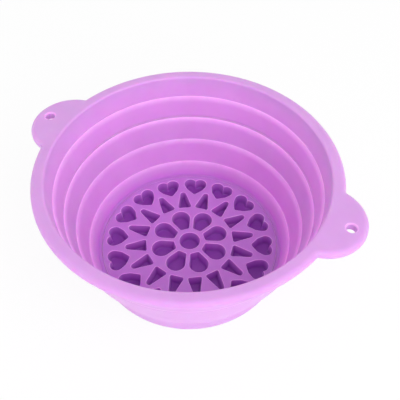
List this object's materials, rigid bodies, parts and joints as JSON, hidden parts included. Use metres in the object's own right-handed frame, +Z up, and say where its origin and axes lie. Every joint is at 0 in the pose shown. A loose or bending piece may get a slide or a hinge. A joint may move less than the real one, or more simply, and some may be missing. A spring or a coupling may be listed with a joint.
{
  "type": "face ice bowl",
  "caption": "Collapsible silicone bowl with stepped walls that fold flat, a flat rim with holed ears, and a base tray of round, petal, wedge and heart ice cells.",
  "frame": {"origin": "centre of the foot ring, on the surface that the bowl stands on", "axes": "+Z up out of the bowl's mouth, +X through the hole of the right ear"},
  "size_m": [0.2702, 0.23, 0.103],
  "materials": {
    "silicone": "soft satin lilac silicone, the same all over"
  },
  "bodies": {
    "base": {"centre_cell": "silicone", "petal_cell_1": "silicone", "petal_cell_2": "silicone", "petal_cell_3": "silicone", "petal_cell_4": "silicone", "petal_cell_5": "silicone", "petal_cell_6": "silicone", "petal_cell_7": "silicone", "petal_cell_8": "silicone", "wedge_cell_1": "silicone", "wedge_cell_2": "silicone", "wedge_cell_3": "silicone", "wedge_cell_4": "silicone", "wedge_cell_5": "silicone", "wedge_cell_6": "silicone", "wedge_cell_7": "silicone", "wedge_cell_8": "silicone", "wedge_cell_9": "silicone", "wedge_cell_10": "silicone", "wedge_cell_11": "silicone", "wedge_cell_12": "silicone", "wedge_cell_13": "silicone", "wedge_cell_14": "silicone", "wedge_cell_15": "silicone", "wedge_cell_16": "silicone", "heart_cell_1": "silicone", "heart_cell_2": "silicone", "heart_cell_3": "silicone", "heart_cell_4": "silicone", "heart_cell_5": "silicone", "heart_cell_6": "silicone", "heart_cell_7": "silicone", "heart_cell_8": "silicone", "heart_cell_9": "silicone", "heart_cell_10": "silicone", "heart_cell_11": "silicone", "heart_cell_12": "silicone", "heart_cell_13": "silicone", "heart_cell_14": "silicone", "heart_cell_15": "silicone", "heart_cell_16": "silicone", "base_band": "silicone", "lower_fold_band": "silicone"},
    "middle": {"middle_band": "silicone", "upper_fold_band": "silicone"},
    "rim": {"rim_band": "silicone", "rim_lip": "silicone", "left_ear": "silicone", "right_ear": "silicone"}
  },
  "joints": [
    {"name": "lower_fold", "type": "slide", "parent": "base", "child": "middle", "axis": [0, 0, -1], "range_m": [0, 0.0382], "deforming": ["lower_fold_band"]},
    {"name": "upper_fold", "type": "slide", "parent": "middle", "child": "rim", "axis": [0, 0, -1], "range_m": [0, 0.0366], "deforming": ["upper_fold_band"]}
  ]
}
